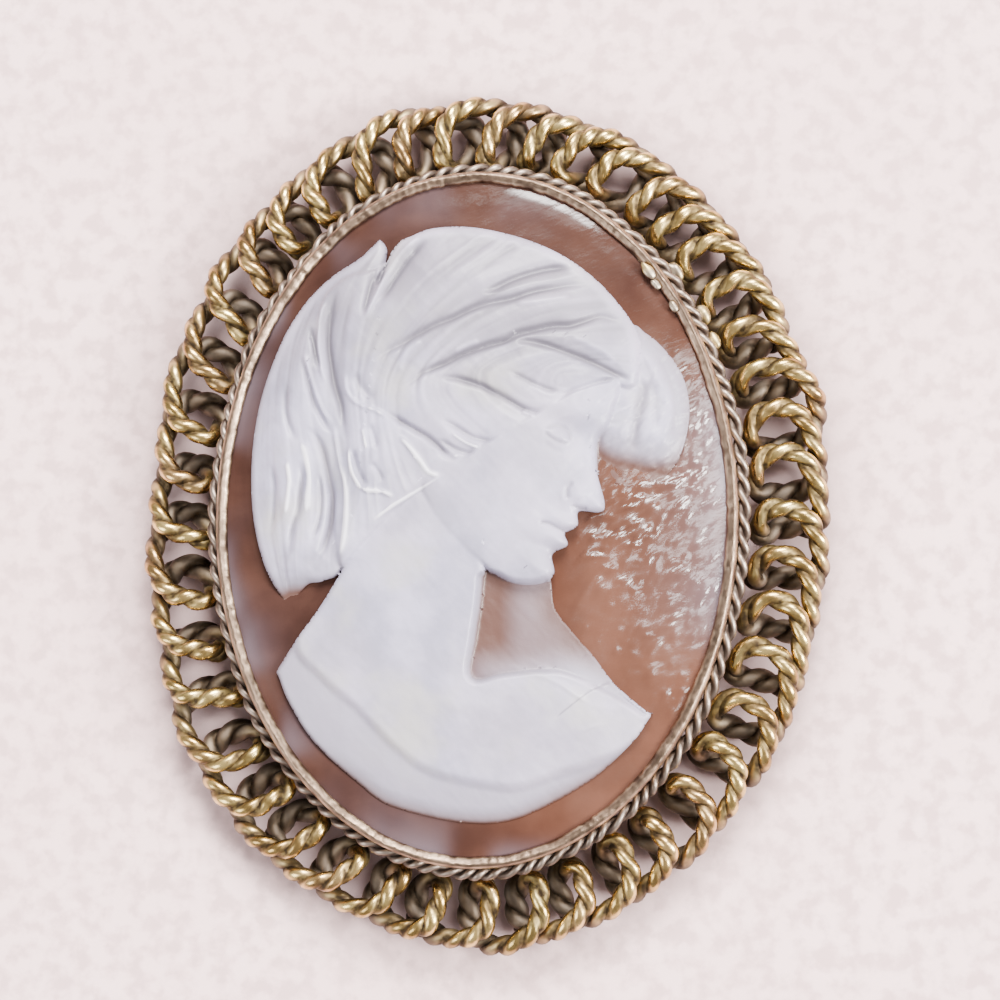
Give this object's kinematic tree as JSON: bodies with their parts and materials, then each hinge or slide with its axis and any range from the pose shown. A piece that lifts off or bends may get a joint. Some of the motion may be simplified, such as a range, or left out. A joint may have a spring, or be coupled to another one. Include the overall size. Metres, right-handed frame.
{
  "type": "cameo brooch",
  "caption": "Oval carved shell cameo of a woman's bust in profile, in a thin bezel with a small twisted wire round it and a wide border of coiled wire, with a pin fitting behind.",
  "frame": {"origin": "middle of the surface that the brooch lies on, under the centre of its outline", "axes": "+Y towards the top of the figure, +Z out of the front of the cameo, +X to the side that the profile faces"},
  "size_m": [0.036, 0.045, 0.0078],
  "materials": {
    "brown_shell": "polished shell, brown to rose",
    "white_shell": "carved shell, milky white, satin",
    "gilt_brass": "worn gilding with dark recesses"
  },
  "bodies": {
    "root": {"shell_ground": "brown_shell", "shell_relief": "white_shell", "setting": "gilt_brass", "pin_fitting": "gilt_brass"}
  },
  "joints": []
}
